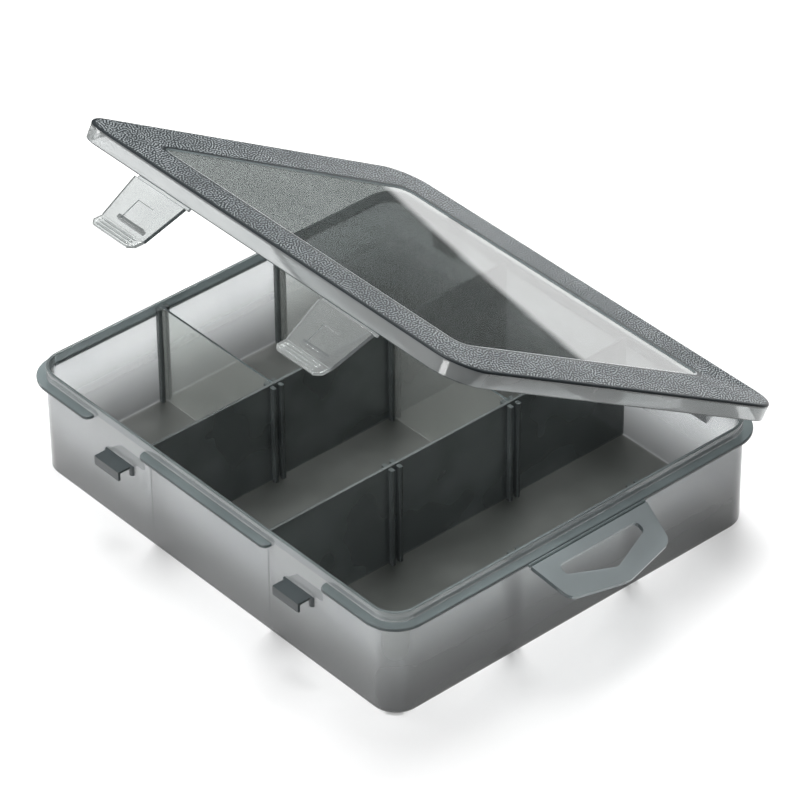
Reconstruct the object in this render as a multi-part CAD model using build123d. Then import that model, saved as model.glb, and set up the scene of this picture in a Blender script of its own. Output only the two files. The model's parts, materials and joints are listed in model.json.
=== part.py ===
from build123d import *

import os
from math import cos, radians, sin

# Parts organizer: a shallow divided tray with a hinged, windowed lid, two snap
# latches, a fold-out carry handle and lift-out dividers.
#
# Frame: origin at the centre of the underside, +X towards the carry handle,
# -Y towards the latches, +Z up. All sizes are millimetres.

# --- overall sizes -----------------------------------------------------------
LID_WIDTH = 240.0          # along X, over the skirt
LID_DEPTH = 210.0          # along Y, over the skirt
CLOSED_HEIGHT = 56.0       # underside to the top of the closed lid

# --- tray --------------------------------------------------------------------
LID_OVERHANG = 4.6         # lid outline outside the tray wall
TRAY_RADIUS = 12.0         # vertical corners of the tray
BOTTOM_RADIUS = 2.2        # edge between the walls and the underside
WALL = 1.6
FLOOR = 1.8
RIM_WALL = 1.4
RIM_HEIGHT = 4.8           # rim above the ledge
RIM_TO_LID = 1.6           # air between the rim and the closed lid's underside
LEDGE_REACH = 4.2          # ledge beyond the tray wall
LEDGE_THICK = 1.8
LEDGE_EDGE = 0.6           # rounding of the ledge's outer edge
LEDGE_END_RADIUS = 3.4     # rounding of the ledge where it stops

# --- partitions, guides and dividers -----------------------------------------
COLUMNS = 3
ROWS = 3
PARTITION_WALL = 1.6
PARTITION_DROP = 0.7       # partition top below the rim
GUIDE_RIB = 2.0            # each slot is a pair of upright ribs on each wall face
GUIDE_DEPTH = 2.6
GUIDE_DROP = 0.8           # rib top below the partition top
DIVIDER_THICK = 1.6
DIVIDER_SIDE_GAP = 0.3     # play on each face of a divider between its ribs
DIVIDER_END_GAP = 0.5      # play between a divider's end and the wall
DIVIDER_FLOOR_GAP = 0.2

# --- lid ---------------------------------------------------------------------
LID_PLATE = 1.6
SKIRT_WALL = 1.8
SKIRT_TO_LEDGE = 0.5       # air between the closed skirt and the ledge
LID_EDGE = 1.2             # rounding of the lid's top edge
FRAME_WIDTH = 26.0         # textured border round the window
WINDOW_RADIUS = 7.0
WINDOW_THICK = 1.0
BEAD_WIDTH = 1.6
BEAD_HEIGHT = 0.4
LID_OPEN = 31.0            # degrees, as the lid stands

# --- lid hinge ---------------------------------------------------------------
HINGE_X = 80.0             # hinge centres, left and right of the middle
HINGE_BACK = 5.1           # hinge axis behind the tray wall
HINGE_HEIGHT = 41.0
PIN_RADIUS = 1.5
PIN_CLEARANCE = 0.05
BARREL_WALL = 1.5
ARM_WIDTH = 10.0
ARM_SIDE_GAP = 0.3
ARM_WEB = 3.4
ARM_PAD = 1.6              # pad of the arm on the outside of the skirt
EAR = 2.4
EAR_ROUND = 2.8            # ear material round the pin centre
EAR_FOOT = 7.0             # ear's foot below the pin, on the wall
LUG_PLATE = 1.0
ARM_GAP_MARGIN = 0.8       # ledge clearance each side of the arm

# --- latches and catches -----------------------------------------------------
LATCH_X = 58.0             # latch centres, left and right of the middle
LATCH_WIDTH = 32.6         # at the film hinge
LATCH_TAPER = 2.9          # each side narrows by this over the flat plate
LATCH_FLAT = 22.8          # film hinge axis to the start of the grip
LATCH_GRIP = 7.2
LATCH_PLATE = 2.0
LATCH_OFFSET = 1.0         # plate's inner face outside the film hinge axis
LATCH_RECESS = (9.5, 10.5, 0.35)     # width, height and depth of the sunk panel
LATCH_RECESS_TOP = 9.2
LATCH_OPEN = 35.0          # degrees out from the skirt, as it stands
LATCH_CLOSED = 12.0        # degrees out from the skirt, when it holds the catch
GRIP_FLARE = 24.0          # degrees
GRIP_CORNER = 2.4          # rounding of the grip's free corners
GRIP_RIBS = 3
GRIP_RIB_RADIUS = 0.55
GRIP_RIB_PITCH = 1.9
BAR_LENGTH = 16.0
BAR_THICK = 2.0
BAR_DEPTH = 2.6
BAR_TO_CATCH = 0.6         # air between the catch's lip and the latched bar
FILM_RADIUS = 0.8
FILM_GAP = 0.4             # air between a film bead and the flap that turns on it
LEDGE_GAP = 33.6           # opening in the ledge for one latch
CATCH_WIDTH = 16.0
CATCH_REACH = 7.5
CATCH_TOP = 35.4
CATCH_WALL = 1.2
CATCH_LIP = 4.6            # height of the catch's front lip, shelf included
CATCH_POST_RADIUS = 1.4

# --- carry handle ------------------------------------------------------------
HANDLE_WIDTH = 64.0
HANDLE_LENGTH = 27.3       # hinge axis to the point of the flap
HANDLE_THICK = 2.2
HANDLE_SHOULDER = (27.6, 21.4)       # half width, and distance from the axis
HANDLE_SHOULDER_RADIUS = 6.0
HANDLE_POINT_RADIUS = 14.0
HANDLE_OPENING = (21.6, 6.3, 11.4, 19.6)   # half width, near, shoulder and far edge
HANDLE_OPENING_RADIUS = 2.4
HANDLE_OPENING_POINT = 4.8 # rounding at the opening's far point
HANDLE_DROOP = 21.0        # degrees below horizontal, as it stands

# --- worked out from the above -----------------------------------------------
LEDGE_TOP = CLOSED_HEIGHT - LID_PLATE - RIM_TO_LID - RIM_HEIGHT
RIM_TOP = LEDGE_TOP + RIM_HEIGHT
SKIRT_BOTTOM = LEDGE_TOP + SKIRT_TO_LEDGE
PLATE_BOTTOM = CLOSED_HEIGHT - LID_PLATE
TRAY_X = LID_WIDTH / 2 - LID_OVERHANG
TRAY_Y = LID_DEPTH / 2 - LID_OVERHANG
INNER_X = TRAY_X - WALL
INNER_Y = TRAY_Y - WALL
LID_RADIUS = TRAY_RADIUS + LID_OVERHANG
PARTITION_TOP = RIM_TOP - PARTITION_DROP
GUIDE_TOP = PARTITION_TOP - GUIDE_DROP
SLOT = DIVIDER_THICK + 2 * DIVIDER_SIDE_GAP
PARTITION_X = [INNER_X * (2 * i / COLUMNS - 1) for i in range(1, COLUMNS)]
SLOT_Y = [INNER_Y * (2 * i / ROWS - 1) for i in range(1, ROWS)]
HINGE_Y = TRAY_Y + HINGE_BACK
BARREL_RADIUS = PIN_RADIUS + PIN_CLEARANCE + BARREL_WALL
EAR_GAP = ARM_WIDTH + 2 * ARM_SIDE_GAP
FILM_Y = -LID_DEPTH / 2 + FILM_RADIUS / 2
FILM_Z = SKIRT_BOTTOM - FILM_RADIUS
HANDLE_AXIS_X = TRAY_X + LEDGE_REACH + FILM_RADIUS
HANDLE_AXIS_Z = LEDGE_TOP - LEDGE_THICK / 2
GRIP_RISE = LATCH_GRIP * sin(radians(GRIP_FLARE))
GRIP_RUN = LATCH_GRIP * cos(radians(GRIP_FLARE))
CUT_MARGIN = 1.0           # how far a cutting shape stands beyond what it cuts
NEAR = 0.01                # two places closer than this are the same place
SIDES = {"left": -1, "right": 1}
COLUMN_NAMES = ("left", "middle", "right")
ROW_NAMES = ("front", "back")


# --- helpers -----------------------------------------------------------------
def block(x, y, z):
    """A box between the two values given for each axis."""
    size = [max(pair) - min(pair) for pair in (x, y, z)]
    centre = [sum(pair) / 2 for pair in (x, y, z)]
    return Pos(*centre) * Box(*size)


def slab(half_x, half_y, radius, z0, z1):
    """A plate with rounded vertical corners, centred on the Z axis."""
    return Pos(0, 0, z0) * extrude(RectangleRounded(2 * half_x, 2 * half_y, radius), z1 - z0)


def ring(half_x, half_y, radius, wall, z0, z1):
    """A band with rounded corners, of one wall thickness, open at top and bottom."""
    return slab(half_x, half_y, radius, z0, z1) - slab(half_x - wall, half_y - wall, radius - wall, z0, z1)


def profile_x(points, x0, x1):
    """A closed outline in the YZ plane, drawn out along X."""
    return Pos(x0, 0, 0) * extrude(Plane.YZ * make_face(Polyline(*points, close=True)), x1 - x0)


def rod_x(radius, y, z, x0, x1):
    """A round bar along X."""
    return Pos((x0 + x1) / 2, y, z) * Rot(0, 90, 0) * Cylinder(radius, x1 - x0)


def rod_y(radius, x, z, y0, y1):
    """A round bar along Y."""
    return Pos(x, (y0 + y1) / 2, z) * Rot(90, 0, 0) * Cylinder(radius, y1 - y0)


def rounded_face(corners):
    """A closed outline from (x, y, radius) corners."""
    points = [(x, y) for x, y, _ in corners]
    face = make_face(Polyline(*points, close=True))
    for x, y, radius in corners:
        if radius:
            corner = face.vertices().sort_by_distance(Vector(x, y, 0))[0]
            face = fillet(corner, radius)
    return face


def opened(shape):
    """Turns a piece of the closed lid to where the lid stands."""
    return shape.rotate(Axis((0, HINGE_Y, HINGE_HEIGHT), (1, 0, 0)), -LID_OPEN)


# --- tray --------------------------------------------------------------------
def tray():
    """Floor and walls up to the ledge, with a rounded bottom edge."""
    body = slab(TRAY_X, TRAY_Y, TRAY_RADIUS, 0, LEDGE_TOP)
    body = fillet(body.edges().group_by(Axis.Z)[0], BOTTOM_RADIUS)
    return body - slab(INNER_X, INNER_Y, TRAY_RADIUS - WALL, FLOOR, LEDGE_TOP)


def rim():
    """The thin upright lip above the ledge."""
    return ring(TRAY_X, TRAY_Y, TRAY_RADIUS, RIM_WALL, LEDGE_TOP, RIM_TOP)


def ledge_segments():
    """The outer ledge, open in front for the latches and behind for the hinge arms."""
    outer_x = TRAY_X + LEDGE_REACH
    outer_y = TRAY_Y + LEDGE_REACH
    plan = RectangleRounded(2 * outer_x, 2 * outer_y, TRAY_RADIUS + LEDGE_REACH)
    plan -= RectangleRounded(2 * TRAY_X, 2 * TRAY_Y, TRAY_RADIUS)
    arm_gap = EAR_GAP + 2 * ARM_GAP_MARGIN
    cut = 2 * (LEDGE_REACH + CUT_MARGIN)
    for side in SIDES.values():
        plan -= Pos(side * LATCH_X, -outer_y) * Rectangle(LEDGE_GAP, cut)
        plan -= Pos(side * HINGE_X, outer_y) * Rectangle(arm_gap, cut)
    pieces = {}
    for face in plan.faces():
        centre = face.center()
        if abs(centre.X) > abs(centre.Y) / 2:
            name = "right" if centre.X > 0 else "left"
        else:
            name = "back" if centre.Y > 0 else "front"
        pieces[f"ledge_{name}"] = ledge_piece(face, outer_y)
    return pieces


def ledge_piece(face, outer_y):
    """One run of the ledge, rounded in plan beside the latches and along its free edges."""
    stops = [v for v in face.vertices() if v.Y < -outer_y + NEAR and
             abs(abs(abs(v.X) - LATCH_X) - LEDGE_GAP / 2) < NEAR]
    if stops:
        face = face.fillet_2d(LEDGE_END_RADIUS, stops)
    run = Pos(0, 0, LEDGE_TOP - LEDGE_THICK) * extrude(face, LEDGE_THICK)
    groups = run.edges().group_by(Axis.Z)
    return fillet([e for e in groups[0] + groups[-1] if not on_tray_wall(e)], LEDGE_EDGE)


def on_tray_wall(edge):
    """Whether a level edge of the ledge lies against the tray."""
    if edge.geom_type == GeomType.CIRCLE:
        return abs(edge.radius - TRAY_RADIUS) < NEAR
    middle = edge.center()
    return min(abs(abs(middle.X) - TRAY_X), abs(abs(middle.Y) - TRAY_Y)) < NEAR


# --- inside ------------------------------------------------------------------
def partition(x):
    """A fixed wall from front to back."""
    half = PARTITION_WALL / 2
    return block((x - half, x + half), (-INNER_Y, INNER_Y), (FLOOR, PARTITION_TOP))


def guide_pair(wall_x, facing, y):
    """Two upright ribs on a wall face, either side of a divider's edge."""
    return [block((wall_x, wall_x + facing * GUIDE_DEPTH),
                  (y + side * SLOT / 2, y + side * (SLOT / 2 + GUIDE_RIB)), (FLOOR, GUIDE_TOP))
            for side in (-1, 1)]


def column_walls():
    """The wall faces that bound each column, as (left face, right face)."""
    half = PARTITION_WALL / 2
    lefts = [-INNER_X] + [x + half for x in PARTITION_X]
    rights = [x - half for x in PARTITION_X] + [INNER_X]
    return list(zip(lefts, rights))


def guides():
    """Facing pairs of ribs for every slot in every column."""
    pieces = {}
    for column, faces in zip(COLUMN_NAMES, column_walls()):
        for row, y in zip(ROW_NAMES, SLOT_Y):
            for wall, face, facing in zip(("a", "b"), faces, (1, -1)):
                for number, rib in enumerate(guide_pair(face, facing, y), start=1):
                    pieces[f"guide_{column}_{row}_{wall}{number}"] = rib
    return pieces


def divider(column, row):
    """A flat lift-out plate between two facing pairs of ribs."""
    left, right = column_walls()[column]
    half = DIVIDER_THICK / 2
    y = SLOT_Y[row]
    return block((left + DIVIDER_END_GAP, right - DIVIDER_END_GAP), (y - half, y + half),
                 (FLOOR + DIVIDER_FLOOR_GAP, GUIDE_TOP))


# --- front catches -----------------------------------------------------------
def catch(x):
    """A shelf on the front wall with a turned-down lip and a post at each end."""
    half = CATCH_WIDTH / 2
    low = CATCH_TOP - CATCH_LIP
    front = -TRAY_Y - CATCH_REACH
    shelf = block((x - half, x + half), (front, -TRAY_Y), (CATCH_TOP - CATCH_WALL, CATCH_TOP))
    shelf += block((x - half, x + half), (front, front + CATCH_WALL), (low, CATCH_TOP))
    for end in (-1, 1):
        post = Pos(x + end * half, -TRAY_Y, (low + CATCH_TOP) / 2) * Cylinder(CATCH_POST_RADIUS, CATCH_LIP)
        shelf += post - block((x - CATCH_WIDTH, x + CATCH_WIDTH), (-TRAY_Y, 0), (0, CATCH_TOP))
    return shelf


# --- hinge -------------------------------------------------------------------
def hinge_lug(x):
    """Two gusset ears on a wall plate, either side of the lid's arm."""
    back = HINGE_Y + EAR_ROUND
    foot = HINGE_HEIGHT - EAR_FOOT
    outline = [(TRAY_Y, foot), (back, HINGE_HEIGHT - EAR_ROUND), (back, HINGE_HEIGHT + EAR_ROUND / 2),
               (HINGE_Y + EAR_ROUND / 2, HINGE_HEIGHT + EAR_ROUND), (TRAY_Y, HINGE_HEIGHT + EAR_ROUND)]
    outer = EAR_GAP / 2 + EAR
    lug = block((x - outer, x + outer), (TRAY_Y, TRAY_Y + LUG_PLATE), (foot, HINGE_HEIGHT + EAR_ROUND))
    for side in (-1, 1):
        inner_face = x + side * EAR_GAP / 2
        outer_face = x + side * outer
        lug += profile_x(outline, min(inner_face, outer_face), max(inner_face, outer_face))
    below = [(TRAY_Y, foot - CUT_MARGIN), (back, foot - CUT_MARGIN), (back, HINGE_HEIGHT - EAR_ROUND),
             (TRAY_Y, foot)]
    return lug - profile_x(below, x - outer, x + outer)


def hinge_pin(x):
    """The pin between the two ears."""
    return rod_x(PIN_RADIUS, HINGE_Y, HINGE_HEIGHT, x - EAR_GAP / 2, x + EAR_GAP / 2)


def hinge_arm(x):
    """The lid's arm: a barrel round the pin, a web and a pad on the skirt."""
    half = ARM_WIDTH / 2
    skirt_back = LID_DEPTH / 2
    inner = skirt_back - SKIRT_WALL
    web_back = inner + ARM_WEB
    arm = rod_x(BARREL_RADIUS, HINGE_Y, HINGE_HEIGHT, x - half, x + half)
    arm += block((x - half, x + half), (inner, web_back), (HINGE_HEIGHT, SKIRT_BOTTOM))
    arm += block((x - half, x + half), (skirt_back, skirt_back + ARM_PAD), (HINGE_HEIGHT, PLATE_BOTTOM))
    bore = rod_x(PIN_RADIUS + PIN_CLEARANCE, HINGE_Y, HINGE_HEIGHT, x - ARM_WIDTH, x + ARM_WIDTH)
    return opened(arm - bore)


# --- lid ---------------------------------------------------------------------
def window_half():
    """Half sizes of the opening in the lid's border."""
    return LID_WIDTH / 2 - FRAME_WIDTH, LID_DEPTH / 2 - FRAME_WIDTH


def lid_frame():
    """The textured border of the lid, with a rounded outer edge."""
    plate = slab(LID_WIDTH / 2, LID_DEPTH / 2, LID_RADIUS, PLATE_BOTTOM, CLOSED_HEIGHT)
    plate = fillet(plate.edges().group_by(Axis.Z)[-1], LID_EDGE)
    return opened(plate - slab(*window_half(), WINDOW_RADIUS, PLATE_BOTTOM, CLOSED_HEIGHT))


def lid_window():
    """The clear pane that closes the border."""
    return opened(slab(*window_half(), WINDOW_RADIUS, PLATE_BOTTOM, PLATE_BOTTOM + WINDOW_THICK))


def window_bead():
    """A low step round the pane, inside the border."""
    low = PLATE_BOTTOM + WINDOW_THICK
    return opened(ring(*window_half(), WINDOW_RADIUS, BEAD_WIDTH, low, low + BEAD_HEIGHT))


def lid_skirt():
    """The upright band under the border."""
    return opened(ring(LID_WIDTH / 2, LID_DEPTH / 2, LID_RADIUS, SKIRT_WALL, SKIRT_BOTTOM, PLATE_BOTTOM))


# --- latches -----------------------------------------------------------------
def film_bead(x):
    """The moulded strip under the skirt on which a latch turns."""
    half = LATCH_WIDTH / 2
    bead = rod_x(FILM_RADIUS, FILM_Y, FILM_Z, x - half, x + half)
    bead += block((x - half, x + half), (FILM_Y - FILM_RADIUS, FILM_Y + FILM_RADIUS), (FILM_Z, SKIRT_BOTTOM))
    return opened(bead)


def latch_half_width(drop):
    """Half width of a latch at a distance below its axis."""
    return LATCH_WIDTH / 2 - LATCH_TAPER * drop / LATCH_FLAT


def swung(shape, x):
    """Puts a latch piece, drawn hanging from the origin, where the latch stands."""
    tilted = shape.rotate(Axis.X, -LATCH_OPEN)
    return opened(Pos(x, FILM_Y, FILM_Z) * tilted)


def latch_plate(x):
    """The flat of the latch, with a shallow sunk panel on its outer face."""
    start = FILM_RADIUS + FILM_GAP
    width, height, depth = LATCH_RECESS
    top, foot = latch_half_width(start), latch_half_width(LATCH_FLAT)
    outline = Plane.XZ * make_face(Polyline((-top, -start), (top, -start), (foot, -LATCH_FLAT),
                                            (-foot, -LATCH_FLAT), close=True))
    plate = Pos(0, -LATCH_OFFSET, 0) * extrude(outline, LATCH_PLATE)
    outer = LATCH_OFFSET + LATCH_PLATE
    panel = block((-width / 2, width / 2), (-outer, -outer + depth),
                  (-LATCH_RECESS_TOP - height, -LATCH_RECESS_TOP))
    return swung(plate - panel, x)


def latch_grip(x):
    """The flared free end of the latch, with finger ribs."""
    inner, outer = LATCH_OFFSET, LATCH_OFFSET + LATCH_PLATE
    wide = latch_half_width(LATCH_FLAT)
    end = LATCH_FLAT + GRIP_RUN
    section = [(-inner, -LATCH_FLAT), (-outer, -LATCH_FLAT), (-outer - GRIP_RISE, -end), (-inner - GRIP_RISE, -end)]
    grip = profile_x(section, -wide, wide)
    corners = [e for e in grip.edges()
               if abs(e.center().Z + end) < NEAR and abs(e.center().X) > wide - NEAR]
    grip = fillet(corners, GRIP_CORNER)
    for i in range(GRIP_RIBS):
        share = 1 / 2 + (i - (GRIP_RIBS - 1) / 2) * GRIP_RIB_PITCH / LATCH_GRIP
        grip += rod_x(GRIP_RIB_RADIUS, -outer - share * GRIP_RISE, -LATCH_FLAT - share * GRIP_RUN,
                      -wide + GRIP_CORNER, wide - GRIP_CORNER)
    return swung(grip, x)


def bar_top():
    """Distance from the latch axis to the bar, which hooks under the catch's lip."""
    lip_drop = FILM_Z - (CATCH_TOP - CATCH_LIP)
    return lip_drop / cos(radians(LATCH_CLOSED)) + BAR_TO_CATCH


def latch_bar(x):
    """The bar on the inner face of the latch."""
    top = bar_top()
    bar = block((-BAR_LENGTH / 2, BAR_LENGTH / 2), (-LATCH_OFFSET, BAR_DEPTH - LATCH_OFFSET),
                (-top - BAR_THICK, -top))
    return swung(bar, x)


# --- handle ------------------------------------------------------------------
def handle_film():
    """The moulded strip on the right-hand ledge on which the handle turns."""
    half = HANDLE_WIDTH / 2
    ledge_face = TRAY_X + LEDGE_REACH
    bead = rod_y(FILM_RADIUS, HANDLE_AXIS_X, HANDLE_AXIS_Z, -half, half)
    return bead + block((ledge_face, HANDLE_AXIS_X), (-half, half),
                        (HANDLE_AXIS_Z - LEDGE_THICK / 2 + LEDGE_EDGE, HANDLE_AXIS_Z + LEDGE_THICK / 2 - LEDGE_EDGE))


def carry_handle():
    """A flat flap with a pointed end and a matching finger opening."""
    start = FILM_RADIUS + FILM_GAP
    shoulder_y, shoulder_x = HANDLE_SHOULDER
    hole_y, near, mid, far = HANDLE_OPENING
    root = HANDLE_WIDTH / 2
    outline = rounded_face([(start, -root, 0), (shoulder_x, -shoulder_y, HANDLE_SHOULDER_RADIUS),
                            (HANDLE_LENGTH, 0, HANDLE_POINT_RADIUS),
                            (shoulder_x, shoulder_y, HANDLE_SHOULDER_RADIUS), (start, root, 0)])
    hole = rounded_face([(near, -hole_y, HANDLE_OPENING_RADIUS), (mid, -hole_y, HANDLE_OPENING_RADIUS),
                         (far, 0, HANDLE_OPENING_POINT), (mid, hole_y, HANDLE_OPENING_RADIUS),
                         (near, hole_y, HANDLE_OPENING_RADIUS)])
    flap = Pos(0, 0, -HANDLE_THICK / 2) * extrude(outline - hole, HANDLE_THICK)
    return Pos(HANDLE_AXIS_X, 0, HANDLE_AXIS_Z) * flap.rotate(Axis.Y, HANDLE_DROOP)


# --- the whole model ---------------------------------------------------------
def model():
    """Every sub-part by name, where it stands."""
    parts = {"base_tray": tray(), "base_rim": rim()}
    parts.update(ledge_segments())
    for name, x in zip(SIDES, PARTITION_X):
        parts[f"partition_{name}"] = partition(x)
    parts.update(guides())
    for name, side in SIDES.items():
        parts[f"latch_catch_{name}"] = catch(side * LATCH_X)
        parts[f"hinge_lug_{name}"] = hinge_lug(side * HINGE_X)
        parts[f"hinge_pin_{name}"] = hinge_pin(side * HINGE_X)
        parts[f"hinge_arm_{name}"] = hinge_arm(side * HINGE_X)
        parts[f"latch_film_{name}"] = film_bead(side * LATCH_X)
        parts[f"latch_plate_{name}"] = latch_plate(side * LATCH_X)
        parts[f"latch_grip_{name}"] = latch_grip(side * LATCH_X)
        parts[f"latch_bar_{name}"] = latch_bar(side * LATCH_X)
    parts["handle_film"] = handle_film()
    parts["carry_handle"] = carry_handle()
    parts["lid_frame"] = lid_frame()
    parts["lid_window"] = lid_window()
    parts["window_bead"] = window_bead()
    parts["lid_skirt"] = lid_skirt()
    parts["divider_left_front"] = divider(0, 0)
    parts["divider_left_back"] = divider(0, 1)
    parts["divider_middle_back"] = divider(1, 1)
    return parts


def main():
    os.makedirs("parts", exist_ok=True)
    for name, shape in model().items():
        shape.label = name
        export_step(shape, f"parts/{name}.step")


if __name__ == "__main__":
    main()
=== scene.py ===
"""Looks for a divided parts box with a windowed, hinged lid, snap latches and a carry handle.

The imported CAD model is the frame. Every piece is built in a design frame (lid shut, latches
hanging straight down, handle level), placed in the mesh by that group's own matrix and tied to
the rigid body it belongs to. Lengths are metres.
"""

import json
import logging
from dataclasses import dataclass, field
from enum import Enum
from math import cos, pi, radians, sin
from typing import Callable, Iterable, Sequence

import bmesh
import bpy
from bpy.types import (
    GeometryNodeTree, ID, Material, Mesh, MeshPolygon, Node, NodeSocket, NodeTree, Object)
from mathutils import Matrix, Vector

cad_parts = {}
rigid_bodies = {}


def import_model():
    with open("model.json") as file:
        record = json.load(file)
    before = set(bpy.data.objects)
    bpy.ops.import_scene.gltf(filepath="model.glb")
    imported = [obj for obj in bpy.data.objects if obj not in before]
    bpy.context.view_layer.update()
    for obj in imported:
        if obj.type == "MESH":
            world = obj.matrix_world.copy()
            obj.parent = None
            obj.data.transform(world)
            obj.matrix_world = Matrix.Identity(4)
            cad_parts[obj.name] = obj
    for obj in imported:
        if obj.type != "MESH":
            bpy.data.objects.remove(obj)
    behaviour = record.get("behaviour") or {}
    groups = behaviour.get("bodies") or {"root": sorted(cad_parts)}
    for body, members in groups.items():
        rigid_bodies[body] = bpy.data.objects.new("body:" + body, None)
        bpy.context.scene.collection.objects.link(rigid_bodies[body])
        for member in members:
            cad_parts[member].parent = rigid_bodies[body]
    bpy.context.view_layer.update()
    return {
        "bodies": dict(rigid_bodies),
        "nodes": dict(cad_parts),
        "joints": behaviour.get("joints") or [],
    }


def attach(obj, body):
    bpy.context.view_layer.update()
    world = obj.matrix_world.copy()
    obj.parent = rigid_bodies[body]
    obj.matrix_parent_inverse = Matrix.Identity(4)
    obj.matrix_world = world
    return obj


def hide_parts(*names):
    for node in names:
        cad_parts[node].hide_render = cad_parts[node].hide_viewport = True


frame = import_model()

LOG = logging.getLogger("parts_box")
MM = 0.001
PLASTIC_IOR = 1.49
FLOW_SPAN = (0.35, 0.65)     # the pattern's values between which flow marks go from none to full,
SCUFF_SPAN = (0.35, 0.7)     # and scuffs,
WEAR_SPAN = (0.3, 0.7)       # and wear on the grain,
GRAIN_SPAN = (0.4, 0.6)      # and the grain's relief
PEEL_SHOWN = 0.6             # share of the surface's waviness that shows
WELD = 0.001 * MM            # points nearer than this are one
SAME_PLANE = 0.6             # degrees between faces that are taken as one
FLAT = 0.5                   # a face whose normal has more of an axis than this faces along it
Colour = tuple[float, float, float]
Point = tuple[float, float, float]
Profile = tuple[float, float]
FacePick = Callable[[MeshPolygon], int]


class Side(Enum):
    """The two mirrored places of a hinge, latch or catch."""

    LEFT = "left"
    RIGHT = "right"


class Slot(Enum):
    """The record's material slots."""

    SHELL = "smoke_shell"
    DARK = "smoke_partition"
    FLAP = "smoke_flap"
    BORDER = "textured_border"
    PANE = "clear_pane"


# --- node-tree helpers ---
class NodeSketch:
    """Adds nodes to a tree, sets their values and links them."""

    def __init__(self, tree: NodeTree) -> None:
        """Empties a tree and starts to fill it."""
        self.tree = tree
        self.tree.nodes.clear()

    def add(self, kind: str, values: dict | None = None, **settings) -> Node:
        """Adds a node.

        Args:
            kind: The node's type.
            values: Input values by name or index; a socket is linked, the rest is set.
            **settings: Attributes of the node itself.

        Returns:
            The new node.
        """
        node = self.tree.nodes.new(kind)
        for name, value in settings.items():
            setattr(node, name, value)
        for name, value in (values or {}).items():
            if isinstance(value, NodeSocket):
                self.tree.links.new(value, node.inputs[name])
            else:
                node.inputs[name].default_value = value
        return node

    def math(self, operation: str, *values: float | NodeSocket) -> NodeSocket:
        """A maths node on numbers or sockets."""
        return self.add("ShaderNodeMath", dict(enumerate(values)), operation=operation).outputs[0]

    def ranged(self, value: NodeSocket, low: float, high: float,
               to: tuple[float, float] = (0.0, 1.0)) -> NodeSocket:
        """A value mapped smoothly from low..high to another range."""
        node = self.add("ShaderNodeMapRange", {
            "Value": value, "From Min": low, "From Max": high, "To Min": to[0], "To Max": to[1]},
            interpolation_type="SMOOTHSTEP")
        return node.outputs["Result"]

    def worms(self, plan: NodeSocket, scale: float | NodeSocket) -> NodeSocket:
        """A pattern of short worm-like ridges, 0 to 1.

        Args:
            plan: The map that it lies on, whose unit is the distance between ridges.
            scale: Cells for each unit of the map.

        Returns:
            The pattern's value.
        """
        often = 1.0 / scale if isinstance(scale, float) else self.math("DIVIDE", 1.0, scale)
        values = {"Vector": plan, "Scale": scale, "Frequency": often, "Anisotropy": 0.0}
        return self.add("ShaderNodeTexGabor", values, gabor_type="2D").outputs["Value"]


class ShaderSketch(NodeSketch):
    """A material builder."""

    def __init__(self, name: str) -> None:
        """Starts an empty material.

        Args:
            name: Its name.
        """
        self.material = bpy.data.materials.new(name)
        self.material.use_nodes = True
        super().__init__(self.material.node_tree)

    def object_place(self) -> NodeSocket:
        """The Object coordinates."""
        return self.add("ShaderNodeTexCoord").outputs["Object"]

    def noise(self, place: NodeSocket, feature: float, detail: float = 3.0) -> NodeSocket:
        """Noise from 0 to 1, whose features are about the given size in metres."""
        values = {"Vector": place, "Scale": 1.0 / feature, "Detail": detail}
        return self.add("ShaderNodeTexNoise", values).outputs["Fac"]

    def blend(self, share: float | NodeSocket, first: Colour | NodeSocket,
              second: Colour | NodeSocket) -> NodeSocket:
        """A colour between two colours, each a socket or a plain colour."""
        colours = {index: (*value, 1.0) if isinstance(value, tuple) else value
                   for index, value in ((6, first), (7, second))}
        return self.add("ShaderNodeMix", {0: share, **colours}, data_type="RGBA").outputs[2]

    def bump(self, height: NodeSocket, depth: float, strength: float = 1.0) -> NodeSocket:
        """A bumped normal from a height of 0 to 1, a depth in metres and the share that shows."""
        values = {"Height": height, "Distance": depth, "Strength": strength}
        return self.add("ShaderNodeBump", values).outputs["Normal"]

    def plastic(self, lamps: float, values: dict) -> Material:
        """Ends the material in a plastic that lets lamp light through.

        Args:
            lamps: Share of the lamps' light that passes straight through each face.
            values: Input values of the plastic's shader by name.

        Returns:
            The material.
        """
        body = self.add("ShaderNodeBsdfPrincipled", {"IOR": PLASTIC_IOR, **values})
        passing = self.add("ShaderNodeBsdfTransparent", {"Color": (lamps, lamps, lamps, 1.0)})
        lamp_ray = self.add("ShaderNodeLightPath").outputs["Is Shadow Ray"]
        mixed = self.add("ShaderNodeMixShader", {0: lamp_ray, 1: body.outputs[0], 2: passing.outputs[0]})
        return self.done(mixed.outputs[0])

    def done(self, shader: NodeSocket) -> Material:
        """Links the shader to the output and returns the material."""
        self.add("ShaderNodeOutputMaterial", {"Surface": shader})
        return self.material


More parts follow.
